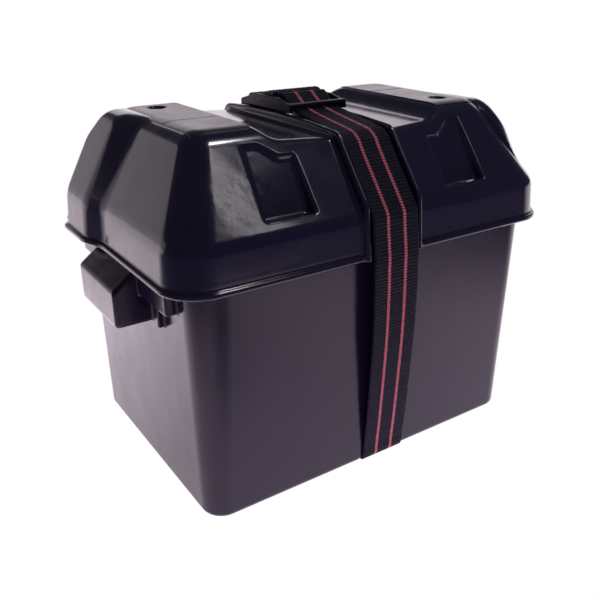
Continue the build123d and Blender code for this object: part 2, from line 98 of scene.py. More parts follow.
BUCKLE_ROOF = [(29.5, 256.1), (29.5, 258.1), (39, 255.4), (39, 253.4)]
PIN_Y, PIN_Z, PIN_R, PIN_PLAY = 24.0, 254.6, 1.6, 0.15
LEVER = [(6.8, 258.4), (6.8, 260.8), (8.0, 262.0), (13, 262.0), (24, 258.6), (27.2, 256.4),
         (27.2, 253.0), (24, 251.4), (20.6, 251.8), (18, 254.4), (12, 257.2)]
LEVER_TOP, LEVER_HALF = 262.0, 20.9
SERRATION, SERRATION_END = 2.6, 15.5
DRIFT, DRIFT_TOP, DRIFT_RUN = 6.5, 160.0, 148.0
RIB_PITCH, STRIPE_AT, STITCH = 2.5, 7.0, 1.9

# --- the stage, in metres -----------------------------------------------------------------
FLOOR_TINT, CARD_TINT = (1, 0.875, 0.955), (1, 0.91, 0.98)
GLOW_STRETCH, GLOW_EDGE = 1.35, (0.42, 0.8)
SHADE_AT, SHADE_EDGE, SHADE_LEAST = (-0.14, -0.40), (0.08, 0.22), 0.2
BEHIND_AXIS, BEHIND_EDGE = (0.56, 0.83), (0.0, 0.25)
SPOT_AT, SPOT_EDGE, SPOT_GLOW = (-0.28, 0.30), (0.08, 0.34), 0.95
BACK_RIGHT = (0, 80, 2.6, 1.6, 0.75)        # from, to, radius, height, strength
BACK_LEFT = (-58, 0, 2.6, 1.05, 0.15)
WORLD = 0.07
SMUDGE = (-0.102, -0.088, 0.218)
# A softbox is its place, what it faces, its size and its radiance.
OVERHEAD = ((0.47, -0.35, 1.45), (-0.1, -0.06, 0.24), (0.12, 0.12), 75)
STRIP = ((0.43, -0.64, 1.14), (-0.108, -0.085, 0.22), (0.1, 0.36), 4.2)
CAMERA_AT, LENS, SENSOR = (-0.30056, -0.44391, 0.33441), 42.82, 36
YAW, PITCH, ROLL = math.radians(33.879), math.radians(24.104), math.radians(-0.07)


# --- signed distance fields ----------------------------------------------------------------
def cut_round(a, b, r):
    """Both a and b, with the convex edge between them rounded to r."""
    return np.minimum(-r, np.maximum(a, b)) + np.hypot(np.maximum(r + a, 0), np.maximum(r + b, 0))


def join_round(a, b, r):
    """Either a or b, with the hollow between them filled to r."""
    return -cut_round(-a, -b, r)


def cut_soft(a, b, k):
    """Both a and b, with a slight rounding for a blunt edge."""
    h = np.maximum(k - np.abs(a - b), 0)
    return np.maximum(a, b) + h * h / (4 * k)


def join_soft(a, b, k):
    """Either a or b, with a slight filling of a blunt hollow."""
    return -cut_soft(-a, -b, k)


def plan(x, y, size):
    """A rounded rectangle of half length, half width and corner radius."""
    hx, hy, r = size
    p = np.abs(x) - hx + r
    q = np.abs(y) - hy + r
    return np.minimum(np.maximum(p, q), 0) + np.hypot(np.maximum(p, 0), np.maximum(q, 0)) - r


def between(low, z_low, high, z_high, z):
    """Sizes at height z, drawn straight from those at z_low to those at z_high."""
    t = (z - z_low) / (z_high - z_low)
    return [a + (b - a) * t for a, b in zip(low, high)]


def ridge(y, z, outline, radii):
    """The space under a symmetric (y, z) outline, its corners rounded to the radii."""
    side = -np.abs(y)
    result, heading = None, 0.0
    for (y0, z0), (y1, z1), r in zip(outline, outline[1:], (0,) + radii):
        length = math.hypot(y1 - y0, z1 - z0)
        line = ((z - z0) * (y1 - y0) - (side - y0) * (z1 - z0)) / length
        bearing = math.atan2(z1 - z0, y1 - y0)
        if result is None:
            result = line
        else:
            result = cut_soft(result, line, max(r * (heading - bearing) ** 2 / 2, 0.05))
        heading = bearing
    return result


def hood_field(x, y, z):
    """The cable hood on the -X end's +Y half."""
    knee = (SKIRT_KNEE[0], HOOD_KNEE)
    low = between((SKIRT_LOW[0], HOOD_RIM), RIM_Z, knee, KNEE_Z, z)
    high = between(knee, KNEE_Z, (ROOF[0], HOOD_ROOF), ROOF_Z, z)
    sunk = 6
    parts = []
    for wall, reach in (low, high):
        step = reach - wall + sunk
        front = ((-(x + wall - sunk) * HOOD_FRONT_RUN - (y + 5) * step)
                 / np.hypot(HOOD_FRONT_RUN, step))
        back = ((-(x + reach) * HOOD_BACK_RUN + (y - HOOD_BACK_Y) * (step + 1.2))
                / np.hypot(HOOD_BACK_RUN, step))
        parts.append(cut_soft(cut_soft(-x - reach, front, 1.6), back, 2.4))
    both = cut_soft(parts[0], parts[1] * 0.88, 2.4)
    return cut_round(both, x + np.minimum(low[0], high[0]) - 8, 1)


def pocket_field(x, y, z):
    """The four tapered recesses in the towers' long slopes."""
    u = np.abs(x)
    v = -np.abs(y)
    run = math.hypot(SKIRT_KNEE[1] - ROOF[1], ROOF_Z - KNEE_Z)
    cos, sin = (ROOF_Z - KNEE_Z) / run, (SKIRT_KNEE[1] - ROOF[1]) / run
    out = -(v + SKIRT_KNEE[1]) * cos + (z - KNEE_Z) * sin
    w = (v + SKIRT_KNEE[1]) * sin + (z - KNEE_Z) * cos
    w_low, w_mid, w_high = [(height - KNEE_Z) / cos
                            for height in (POCKET_LOW_Z, POCKET_MID_Z, POCKET_HIGH_Z)]
    step = math.hypot(POCKET_STEP_HIGH - POCKET_STEP_LOW, w_high - w_mid)
    slant = ((w - w_mid) * (POCKET_STEP_HIGH - POCKET_STEP_LOW)
             - (u - POCKET_STEP_LOW) * (w_high - w_mid)) / step
    top = join_soft(w - w_mid, cut_soft(w - w_high, slant, 2), 1.5)
    outline = cut_round(top, u - POCKET_OUTER, 3)
    outline = cut_round(outline, POCKET_INNER - u, 3)
    outline = cut_round(outline, w_low - w, 3)
    depth = POCKET_DEEP + (w - w_low) / (w_high - w_low) * (POCKET_SHALLOW - POCKET_DEEP)
    inset = POCKET_TAPER * (1 - (out + depth) / (depth + 3))
    return cut_soft((outline + inset) * SLOPE_SHARE, -(out + depth), 1.6)


def lid_walls(x, y, z):
    """The skirt and the sloping walls above it."""
    skirt = plan(x, y, between(SKIRT_LOW, RIM_Z, SKIRT_KNEE, KNEE_Z, z))
    tower = plan(x, y, between(SKIRT_KNEE, KNEE_Z, ROOF, ROOF_Z, z)) * SLOPE_SHARE
    return cut_soft(skirt, tower, 2.8)


def lid_roof(x, y, z):
    """The towers' outer form, before the hoods, valley and spine."""
    return cut_soft(lid_walls(x, y, z), z - ROOF_Z, ROOF_SOFT)


def lid_outer(x, y, z):
    """The lid's outer form as one solid."""
    form = lid_walls(x, y, z)
    profile = [(-SKIRT_LOW[1], RIM_Z), (-SKIRT_KNEE[1], KNEE_Z), (-ROOF[1], ROOF_Z)]
    slopes = 0.8 + ridge(y, z, profile, (14,))
    for turn in (1, -1):
        form = join_round(form, cut_round(hood_field(x * turn, y * turn, z), slopes, 6), 1.4)
    form = cut_soft(form, z - ROOF_Z, ROOF_SOFT)
    u = np.abs(x)
    rise = (VALLEY_EDGE_Z - VALLEY_MIDDLE_Z) / (VALLEY_FOOT - SPINE_HALF)
    floor = VALLEY_MIDDLE_Z + np.maximum(u - SPINE_HALF, 0) * rise
    lean = (VALLEY_TOP - VALLEY_FOOT) / (ROOF_Z - VALLEY_EDGE_Z)
    wall = (u - VALLEY_FOOT - (z - VALLEY_EDGE_Z) * lean) / math.hypot(1, lean)
    form = cut_soft(form, -cut_soft(floor - z, wall, 5), 3)
    form = cut_soft(form, -pocket_field(x, y, z), 1.5)
    spine = cut_round(ridge(y, z, SPINE, CREST_ROUNDING), u - SPINE_HALF, 2.1)
    form = join_round(form, spine, 2.5)
    around = plan(x, y, SKIRT_LOW)
    for turn in (1, -1):
        hood = hood_field(x * turn, y * turn, RIM_Z + 0 * z)
        around = join_soft(around, hood, 1.5)
    bead = cut_round(around - BEAD_OUT, np.abs(z - RIM_Z - BEAD_HEIGHT / 2) - BEAD_HEIGHT / 2, 1.4)
    form = join_round(form, bead, 1.1)
    channel = cut_round(-ridge(y, z, CHANNEL, CREST_ROUNDING), u - CHANNEL_HALF, 1)
    form = cut_round(form, -channel, 1.6)
    spot = np.minimum(np.hypot(x - DIMPLE[0], y - DIMPLE[1]),
                      np.hypot(x + DIMPLE[0], y + DIMPLE[1])) - DIMPLE_R
    dimple = cut_round(spot, ROOF_Z - DIMPLE_DEPTH - z, 1)
    return cut_round(form, -dimple, 0.8)


def lid_field(x, y, z):
    """The lid as a shell with its seat ring, open below."""
    outer = lid_outer(x, y, z)
    shell = cut_round(outer, -(outer + LID_WALL), 0.4)
    ring = cut_round(np.abs(z - SEAT_LOW - SEAT_THICK / 2) - SEAT_THICK / 2,
                     -plan(x, y, SEAT_HALF), 0.6)
    ring = cut_round(ring, outer + 0.8, 0.4)
    shell = join_round(shell, ring, 1)
    return cut_round(shell, RIM_Z - z, 0.8)


def polygon(p, q, outline):
    """Signed distance to a closed outline in a plane."""
    nearest, inside = None, np.zeros(p.shape, bool)
    for (a0, b0), (a1, b1) in zip(outline, outline[1:] + outline[:1]):
        da, db = a1 - a0, b1 - b0
        t = np.clip(((p - a0) * da + (q - b0) * db) / (da * da + db * db), 0, 1)
        square = (p - a0 - da * t) ** 2 + (q - b0 - db * t) ** 2
        nearest = square if nearest is None else np.minimum(nearest, square)
        if db:
            inside ^= ((b0 <= q) != (b1 <= q)) & (p < a0 + (q - b0) * da / db)
    return np.where(inside, -1, 1) * np.sqrt(nearest)


def slab(value, low, high):
    """The space between two parallel planes."""
    return np.abs(value - (low + high) / 2) - (high - low) / 2


def brick(x, y, z, low, high, r):
    """A box with rounded edges."""
    side = cut_round(slab(x, low[0], high[0]), slab(y, low[1], high[1]), r)
    return cut_round(side, slab(z, low[2], high[2]), r)


def tub_field(x, y, z):
    """The open tub with its hollow grips, ledges and ribs, and the strap's groove."""
    size = between(TUB_BOTTOM, 0, TUB_TOP, TUB_HEIGHT, z)
    outer = cut_round(plan(x, y, size), -z, 4.5)
    inner = cut_round(plan(x, y, [s - TUB_WALL for s in size]), TUB_FLOOR - z, 4)
    u, v = np.abs(x), np.abs(y)
    root = TUB_BOTTOM[0] - 1

    def grip(wall, rise, drop, low, r):
        reach = GRIP_REACH - wall
        tall, deep = GRIP_TOP - GRIP_SHOULDER, GRIP_REACH - LEDGE_REACH
        lean = (((u - reach) * tall + (z - GRIP_SHOULDER + drop) * deep)
                / math.hypot(tall, deep))
        form = cut_soft(cut_round(low - z, u - reach, r), lean, 1.6)
        form = cut_soft(form, z - GRIP_TOP + rise, 1.2)
        return cut_round(cut_round(form, v - GRIP_HALF + wall, r), root - u, 0.5)

    ledge = brick(u, y, z, (root, -LEDGE_HALF, LEDGE_LOW),
                  (LEDGE_REACH, LEDGE_HALF, LEDGE_TOP), 1.6)
    under = brick(u, y, z, (root - 9, -LEDGE_HALF + GRIP_WALL, LEDGE_LOW - 9),
                  (LEDGE_REACH - GRIP_WALL, LEDGE_HALF - GRIP_WALL, LEDGE_TOP - GRIP_WALL), 1)
    ledge = cut_round(ledge, -under, 0.8)
    rib = brick(u, v, z, (root, RIB_OFFSET - RIB_WIDTH / 2, RIB_LOW),
                (RIB_REACH, RIB_OFFSET + RIB_WIDTH / 2, LEDGE_TOP - 1), 0.8)
    ends = join_round(join_round(grip(0, 0, 0, GRIP_LOW, 2.4), ledge, 1), rib, 1)
    ends = cut_round(ends, -grip(GRIP_WALL, 4.5, 1.5, GRIP_LOW - 9, 1.5), 1)
    form = join_round(outer, ends, 1.2)
    form = cut_round(form, -inner, 0.9)
    form = cut_round(form, z - TUB_HEIGHT, 0.9)
    groove = cut_round(np.abs(x - DRIFT) - GROOVE_HALF, z - GROOVE_DEPTH, 0.8)
    return cut_round(form, -groove, 0.8)


def buckle_field(x, y, z):
    """The buckle's frame: two cheeks and the bars, plate and roof between them."""
    u = np.abs(x)
    form = cut_round(polygon(y, z, CHEEK), slab(u, CHEEK_INNER, CHEEK_OUTER), 0.8)
    inside = CHEEK_INNER + 0.8

    def across(corners, r):
        (low_y, low_z), (high_y, high_z) = corners
        return brick(u, y, z, (-9, low_y, low_z), (inside, high_y, high_z), r)

    form = join_round(form, across(BUCKLE_FRONT_BAR, 1.1), 0.6)
    for at_y, at_z, r in (BUCKLE_MIDDLE_BAR, BUCKLE_ANCHOR_BAR):
        bar = cut_round(np.hypot(y - at_y, z - at_z) - r, u - inside, 0.2)
        form = join_round(form, bar, 0.5)
    form = join_round(form, across(BUCKLE_PLATE, 0.3), 0.4)
    form = join_round(form, cut_round(polygon(y, z, BUCKLE_ROOF), u - inside, 0.5), 0.5)
    return cut_round(form, PIN_R + PIN_PLAY - np.hypot(y - PIN_Y, z - PIN_Z), 0.3)


def lever_field(x, y, z):
    """The cam lever with its serrated thumb edge."""
    form = cut_round(polygon(y, z, LEVER), np.abs(x) - LEVER_HALF, 0.7) + 0.05
    pitch = x / SERRATION - np.round(x / SERRATION)
    notch = np.hypot(pitch * SERRATION, z - LEVER_TOP) - SERRATION * 0.4
    form = cut_round(form, -cut_round(notch, y - SERRATION_END, 0.4), 0.3)
    return cut_round(form, PIN_R + PIN_PLAY - np.hypot(y - PIN_Y, z - PIN_Z), 0.2)


def surface_net(field, low, high, cell):
    """Vertices and quads of a field's zero surface, on a regular grid."""
    axes = [np.arange(a, b + cell, cell) for a, b in zip(low, high)]
    shape = tuple(len(axis) for axis in axes)
    block = 4
    middles = [axis[::block] + cell * (block - 1) / 2 for axis in axes]
    rough = field(*[g.ravel() for g in np.meshgrid(*middles, indexing="ij")])
    rough = rough.reshape([len(m) for m in middles])
    for axis in range(3):
        rough = np.repeat(rough, block, axis)
    rough = rough[:shape[0], :shape[1], :shape[2]]
    values = np.where(rough < 0, -1.0, 1.0)
    near = np.argwhere(np.abs(rough) < cell * block * 1.25)
    values[tuple(near.T)] = field(*[axis[near[:, n]] for n, axis in enumerate(axes)])
    inside = values < 0
    count = np.zeros(tuple(n - 1 for n in shape), np.int8)
    corners = [(i, j, k) for i in (0, 1) for j in (0, 1) for k in (0, 1)]
    for i, j, k in corners:
        count += inside[i:shape[0] - 1 + i, j:shape[1] - 1 + j, k:shape[2] - 1 + k]
    active = (count > 0) & (count < 8)
    cells = np.argwhere(active)
    number = -np.ones(count.shape, np.int64)
    number[active] = np.arange(len(cells))
    at = {c: values[cells[:, 0] + c[0], cells[:, 1] + c[1], cells[:, 2] + c[2]] for c in corners}
    total = np.zeros((len(cells), 3))
    hits = np.zeros(len(cells))
    for c in corners:
        for axis in range(3):
            if c[axis]:
                continue
            d = tuple(c[n] + (n == axis) for n in range(3))
            crossing = (at[c] < 0) != (at[d] < 0)
            t = np.where(crossing, at[c] / np.where(crossing, at[c] - at[d], 1), 0)
            point = np.tile(np.array(c, float), (len(cells), 1))
            point[:, axis] += t
            total += point * crossing[:, None]
            hits += crossing
    places = np.array(low) + (cells + total / hits[:, None]) * cell
    quads = []
    for axis in range(3):
        one, two = [n for n in range(3) if n != axis]
        a = np.take(inside, range(shape[axis] - 1), axis)
        b = np.take(inside, range(1, shape[axis]), axis)
        edges = np.argwhere(a != b)
        edges = edges[(edges[:, one] > 0) & (edges[:, two] > 0)
                      & (edges[:, one] < shape[one] - 1) & (edges[:, two] < shape[two] - 1)]
        ring = []
        for back_one, back_two in ((1, 1), (0, 1), (0, 0), (1, 0)):
            spot = edges.copy()
            spot[:, one] -= back_one
            spot[:, two] -= back_two
            ring.append(number[spot[:, 0], spot[:, 1], spot[:, 2]])
        quad = np.stack(ring, 1)
        outward = a[edges[:, 0], edges[:, 1], edges[:, 2]]
        flip = outward if axis == 1 else ~outward
        quad[flip] = quad[flip][:, ::-1]
        quads.append(quad)
    return places, np.concatenate(quads)


def slope_of(field, p, step):
    """A field's gradient at points."""
    rows = []
    for axis in range(3):
        d = np.zeros(3)
        d[axis] = step
        rows.append((field(*(p + d).T) - field(*(p - d).T)) / (2 * step))
    return np.stack(rows, 1)


def settle(field, p, rounds, reach):
    """Moves points onto a field's zero surface."""
    for _ in range(rounds):
        g = slope_of(field, p, 0.05)
        size = np.maximum((g * g).sum(1), 0.05)
        move = -(field(*p.T) / size)[:, None] * g
        length = np.linalg.norm(move, axis=1, keepdims=True)
        p = p + move * np.minimum(1, reach / np.maximum(length, 1e-9))
    return p


# --- meshes --------------------------------------------------------------------------------
def new_object(name, mesh):
    """A mesh's object, linked to the scene."""
    obj = bpy.data.objects.new(name, mesh)
    bpy.context.scene.collection.objects.link(obj)
    return obj


def mesh_of(name, points, faces):
    """A mesh from points in millimetres."""
    mesh = bpy.data.meshes.new(name)
    mesh.from_pydata((np.asarray(points) * MM).tolist(), [], [list(f) for f in faces])
    mesh.validate()
    mesh.update()
    mesh.polygons.foreach_set("use_smooth", [True] * len(mesh.polygons))
    return new_object(name, mesh)


def applied(obj):
    """Bakes an object's modifiers into its mesh."""
    graph = bpy.context.evaluated_depsgraph_get()
    mesh = bpy.data.meshes.new_from_object(obj.evaluated_get(graph))
    obj.modifiers.clear()
    old = obj.data
    obj.data = mesh
    bpy.data.meshes.remove(old)
    return obj


def cleaned(obj):
    """Joins corners that have met, and removes faces that lie back to back."""
    bm = bmesh.new()
    bm.from_mesh(obj.data)
    bmesh.ops.remove_doubles(bm, verts=bm.verts, dist=MEET * MM)
    groups = {}
    for face in bm.faces:
        groups.setdefault(frozenset(v.index for v in face.verts), []).append(face)
    doubled = [face for group in groups.values() if len(group) > 1 for face in group]
    bmesh.ops.delete(bm, geom=doubled, context="FACES_ONLY")
    bmesh.ops.delete(bm, geom=[e for e in bm.edges if not e.link_faces], context="EDGES")
    bmesh.ops.delete(bm, geom=[v for v in bm.verts if not v.link_faces], context="VERTS")
    bm.to_mesh(obj.data)
    bm.free()


def corners_of(obj):
    """An object's vertices in millimetres."""
    place = np.zeros(len(obj.data.vertices) * 3)
    obj.data.vertices.foreach_get("co", place)
    return place.reshape(-1, 3) / MM


def field_piece(name, field, low, high, cell, faces_wanted):
    """A closed piece from a field: netted, settled, thinned out and given the field's normals."""
    points, quads = surface_net(field, low, high, cell)
    points = settle(field, points, 3, cell * 0.5)
    obj = mesh_of(name, points, quads)
    thin = obj.modifiers.new("thin", "DECIMATE")
    thin.ratio = min(1.0, faces_wanted / (2 * len(quads)))
    applied(obj)
    place = settle(field, corners_of(obj), 1, cell * 0.3)
    obj.data.vertices.foreach_set("co", (place * MM).ravel())
    cleaned(obj)
    obj.data.update()
    normals = slope_of(field, corners_of(obj), 0.25)
    normals /= np.maximum(np.linalg.norm(normals, axis=1, keepdims=True), 1e-9)
    obj.data.polygons.foreach_set("use_smooth", [True] * len(obj.data.polygons))
    obj.data.normals_split_custom_set_from_vertices(normals.tolist())
    return obj


# --- materials -----------------------------------------------------------------------------
class Paint:
    """A small helper that builds one node material."""

    def __init__(self, name, **settings):
        self.material = bpy.data.materials.new(name)
        self.material.use_nodes = True
        self.tree = self.material.node_tree
        self.shader = self.tree.nodes["Principled BSDF"]
        self.coordinates = self.node("ShaderNodeTexCoord").outputs["Object"]
        for key, value in settings.items():
            self.shader.inputs[key.replace("_", " ")].default_value = value

    def node(self, kind, **settings):
        node = self.tree.nodes.new(kind)
        for key, value in settings.items():
            setattr(node, key, value)
        return node

    def link(self, a, b):
        self.tree.links.new(a, b)
        return self

    def noise(self, scale, detail=2.0, roughness=0.5, stretch=None):
        node = self.node("ShaderNodeTexNoise")
        node.inputs["Scale"].default_value = scale
        node.inputs["Detail"].default_value = detail
        node.inputs["Roughness"].default_value = roughness
        source = self.coordinates
        if stretch:
            mapping = self.node("ShaderNodeMapping")
            mapping.inputs["Scale"].default_value = stretch
            self.link(source, mapping.inputs["Vector"])
            source = mapping.outputs["Vector"]
        self.link(source, node.inputs["Vector"])
        return node.outputs["Fac"]

    def ramp(self, value, stops):
        node = self.node("ShaderNodeValToRGB")
        elements = node.color_ramp.elements
        while len(elements) < len(stops):
            elements.new(0.5)
        for element, (at, colour) in zip(elements, stops):
            element.position = at
            element.color = tuple(colour) + (1,) if len(colour) == 3 else tuple(colour)
        self.link(value, node.inputs["Fac"])
        return node.outputs["Color"]

    def range(self, value, low, high, to_low, to_high):
        node = self.node("ShaderNodeMapRange")
        for key, number in zip(("From Min", "From Max", "To Min", "To Max"),
                               (low, high, to_low, to_high)):
            node.inputs[key].default_value = number
        self.link(value, node.inputs["Value"])
        return node.outputs["Result"]

    def math(self, operation, a, b=None):
        node = self.node("ShaderNodeMath", operation=operation)
        for socket, value in zip(node.inputs, (a, b)):
            if value is None:
                continue
            if isinstance(value, (int, float)):
                socket.default_value = value
            else:
                self.link(value, socket)
        return node.outputs[0]

    def attribute(self, name):
        return self.node("ShaderNodeAttribute", attribute_name=name).outputs["Fac"]

    def mix(self, fac, a, b):
        node = self.node("ShaderNodeMix", data_type="RGBA")
        for socket, value in zip((node.inputs[0], node.inputs[6], node.inputs[7]), (fac, a, b)):
            if isinstance(value, tuple):
                socket.default_value = value + (1,)
            else:
                self.link(value, socket)
        return node.outputs[2]

    def bump(self, height, strength, distance, normal=None):
        node = self.node("ShaderNodeBump")
        node.inputs["Strength"].default_value = strength
        node.inputs["Distance"].default_value = distance
        self.link(height, node.inputs["Height"])
        if normal is not None:
            self.link(normal, node.inputs["Normal"])
        return node.outputs["Normal"]

    def set(self, socket, value):
        return self.link(value, self.shader.inputs[socket])


def moulded(name, dark, light, rough, wave, grain, coat=0.0):
    """Glossy moulded plastic: slow waviness, fine grain and small changes of tone and gloss."""
    p = Paint(name, Coat_Weight=coat, Coat_Roughness=0.06, IOR=1.5)
    tone = p.noise(14, 3)
    p.set("Base Color", p.ramp(tone, [(0.3, dark), (0.7, light)]))
    p.set("Roughness", p.range(p.noise(45, 4, 0.6), 0.3, 0.7, rough[0], rough[1]))
    slow = p.bump(p.noise(wave[0], 2), 1.0, wave[1])
    p.set("Normal", p.bump(p.noise(grain[0], 3, 0.6), grain[1], grain[2], slow))
    return p


TUB = moulded("tub_plastic", (0.0115, 0.0058, 0.030), (0.0145, 0.0074, 0.037), (0.16, 0.24),
              (22, 0.0006), (900, 0.25, 0.00012), 0.0)
TUB.shader.inputs["Specular IOR Level"].default_value = 0.43
TUB.shader.inputs["Specular Tint"].default_value = (1, 0.88, 1, 1)
LID = moulded("lid_plastic", (0.0105, 0.0065, 0.041), (0.0135, 0.0085, 0.049), (0.14, 0.2),
              (26, 0.0005), (1100, 0.08, 0.00008), 0.4)
LID.shader.inputs["Specular Tint"].default_value = (1, 0.92, 1, 1)
smudge = LID.node("ShaderNodeVectorMath", operation="DISTANCE")
LID.link(LID.coordinates, smudge.inputs[0])
smudge.inputs[1].default_value = SMUDGE
handled = LID.range(smudge.outputs["Value"], 0.010, 0.034, 0.7, 0.0)
smear = LID.node("ShaderNodeBump")
smear.inputs["Distance"].default_value = 0.0009
LID.link(LID.noise(75, 3, 0.45), smear.inputs["Height"])
LID.link(handled, smear.inputs["Strength"])
LID.link(LID.shader.inputs["Normal"].links[0].from_socket, smear.inputs["Normal"])
LID.set("Normal", smear.outputs["Normal"])
LABEL = moulded("label_plastic", (0.011, 0.008, 0.032), (0.015, 0.011, 0.039), (0.26, 0.34),
                (26, 0.0002), (1500, 0.3, 0.0001))
BUCKLE = moulded("buckle_plastic", (0.008, 0.006, 0.024), (0.012, 0.009, 0.031), (0.3, 0.4),
                 (60, 0.0001), (1600, 0.35, 0.0001))
BUCKLE.shader.inputs["Specular IOR Level"].default_value = 0.2
CASE = moulded("case_plastic", (0.02, 0.02, 0.022), (0.03, 0.03, 0.032), (0.3, 0.42),
               (30, 0.0003), (1200, 0.4, 0.0001))
COVER = moulded("cover_plastic", (0.028, 0.028, 0.03), (0.04, 0.04, 0.043), (0.32, 0.45),
                (30, 0.0002), (1400, 0.5, 0.0001))
VENT = moulded("vent_plastic", (0.45, 0.32, 0.02), (0.6, 0.42, 0.03), (0.3, 0.4),
               (40, 0.0001), (1400, 0.3, 0.0001))


def metal(name, dark, light, rough, stretch):
    """Bare metal with drawn scratches and duller patches."""
    p = Paint(name, Metallic=1.0)
    p.set("Base Color", p.ramp(p.noise(60, 4, 0.65), [(0.3, dark), (0.7, light)]))
    p.set("Roughness", p.range(p.noise(120, 4, 0.6), 0.3, 0.7, rough[0], rough[1]))
    p.set("Normal", p.bump(p.noise(700, 2, 0.5, stretch), 0.3, 0.00008))
    return p


LEAD = metal("lead", (0.16, 0.165, 0.18), (0.34, 0.35, 0.37), (0.42, 0.62), (1, 1, 1))
STUD = metal("stud_steel", (0.42, 0.43, 0.45), (0.62, 0.63, 0.65), (0.22, 0.36), (1, 1, 6))
NUT = metal("nut_steel", (0.5, 0.5, 0.48), (0.7, 0.7, 0.66), (0.2, 0.34), (1, 1, 1))
PIN = metal("pin_steel", (0.03, 0.03, 0.035), (0.07, 0.07, 0.08), (0.3, 0.45), (0.2, 4, 4))


def pasted(name, dark, light, scale):
    """Battery paste or felt: matt, mottled and granular."""
    p = Paint(name)
    p.set("Base Color", p.ramp(p.noise(scale, 5, 0.7), [(0.3, dark), (0.7, light)]))
    p.set("Roughness", p.range(p.noise(200, 3), 0.3, 0.7, 0.75, 0.95))
    p.set("Normal", p.bump(p.noise(900, 4, 0.7), 0.6, 0.0002))
    return p


POSITIVE = pasted("positive_paste", (0.05, 0.022, 0.012), (0.10, 0.045, 0.022), 180)
NEGATIVE = pasted("negative_paste", (0.10, 0.105, 0.11), (0.19, 0.195, 0.2), 180)
SEPARATOR = pasted("separator_sheet", (0.62, 0.60, 0.54), (0.75, 0.73, 0.68), 90)


def webbing_material():
    """Woven polypropylene: dark ribs across the width with painted shade between them, and two red
    stripes along it with painted highlights and shade on their beads.
    """
    p = Paint("webbing", Sheen_Weight=0.04, Sheen_Roughness=0.4, Specular_IOR_Level=0.25)
    across, along = p.attribute("across"), p.attribute("along")
    # Painted shade: the tone is lighter on the rib crests and darker in the troughs between them,
    # in step with the ribs' real lift. The twist across the width and the fuzz are the yarn's own
    # changes of tone.
    wave = p.math("SINE", p.math("MULTIPLY", along, 2 * math.pi / RIB_PITCH))
    twist = p.math("SINE", p.math("MULTIPLY", across, 2 * math.pi / 1.0))
    weave_and_rib_shade = p.math("ADD", p.math("MULTIPLY", wave, 0.35), p.math("MULTIPLY", twist, 0.15))
    fuzz = p.math("MULTIPLY", p.noise(1200, 3, 0.7), 0.5)
    tone = p.math("ADD", p.math("ADD", weave_and_rib_shade, fuzz), 0.25)
    base = p.ramp(tone, [(0.1, (0.001, 0.001, 0.008)), (0.9, (0.012, 0.009, 0.038))])
    off = p.math("ABSOLUTE", p.math("SUBTRACT", p.math("ABSOLUTE", across), STRIPE_AT))
    bead = p.math("SINE", p.math("MULTIPLY", along, 2 * math.pi / STITCH))
    edge = p.math("ADD", p.math("SUBTRACT", off, p.math("MULTIPLY", bead, 0.1)),
                  p.math("MULTIPLY", p.noise(900, 2), 0.5))
    stripe = p.range(edge, 1.2, 1.6, 1.0, 0.0)
    # Painted highlight and shade: the red runs from dark to bright with every bead, as if light
    # fell on each bulge of the beaded thread. The bead's wobble of the stripe's edge is the
    # stripe's real pattern.
    red = p.ramp(p.math("ADD", p.math("MULTIPLY", bead, 0.22), fuzz),
                 [(0.0, (0.34, 0.04, 0.09)), (0.5, (1.0, 0.25, 0.36))])
    p.set("Base Color", p.mix(stripe, base, red))
    p.set("Roughness", p.range(p.noise(500, 3), 0.3, 0.7, 0.6, 0.85))
    p.set("Normal", p.bump(tone, 0.5, 0.0003))
    return p


WEB = webbing_material()

PAINTS = {
    "tub": TUB, "lid": LID, "strap_under": WEB, "strap_front": WEB, "strap_back": WEB,
    "strap_in_buckle": WEB, "buckle_frame": BUCKLE, "buckle_lever": BUCKLE, "buckle_pin": PIN,
    "battery_case": CASE, "battery_cover": COVER, "vent_plugs": VENT, "positive_plates": POSITIVE,
    "negative_plates": NEGATIVE, "separators": SEPARATOR, "cell_link": LEAD, "terminal": LEAD,
    "stud": STUD, "wing_nut": NUT,
}
for name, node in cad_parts.items():
    key = next(k for k in sorted(PAINTS, key=len, reverse=True) if name.startswith(k))
    node.data.materials.clear()
    node.data.materials.append(PAINTS[key].material)


def dress(obj, paint, body=None):
    """Gives a piece its material and the body it rides on."""
    obj.data.materials.clear()
    obj.data.materials.append(paint.material)
    if body:
        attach(obj, body)
    return obj


# --- shells and labels ---------------------------------------------------------------------
lid = field_piece("lid_shell", lid_field, (-167.3, -111.9, 165.6), (167.3, 111.9, 254.6),
                  1.4, 170000)
dress(lid, LID, "lid")
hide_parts("lid")
tub = field_piece("tub_shell", tub_field, (-170.3, -104.2, -1.6), (170.3, 104.2, 175.6),
                  1.6, 180000)
dress(tub, TUB, "root")
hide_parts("tub")
buckle = field_piece("buckle_frame_shell", buckle_field, (-25.2, -21.4, 247.4),
                     (25.2, 49.4, 259.4), 0.45, 60000)
dress(buckle, BUCKLE, "strap_back")
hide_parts("buckle_frame")
lever = field_piece("buckle_lever_shell", lever_field, (-21.8, 5.9, 250.5), (21.8, 28.1, 263),
                    0.4, 50000)
dress(lever, BUCKLE, "buckle_lever")
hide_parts("buckle_lever")


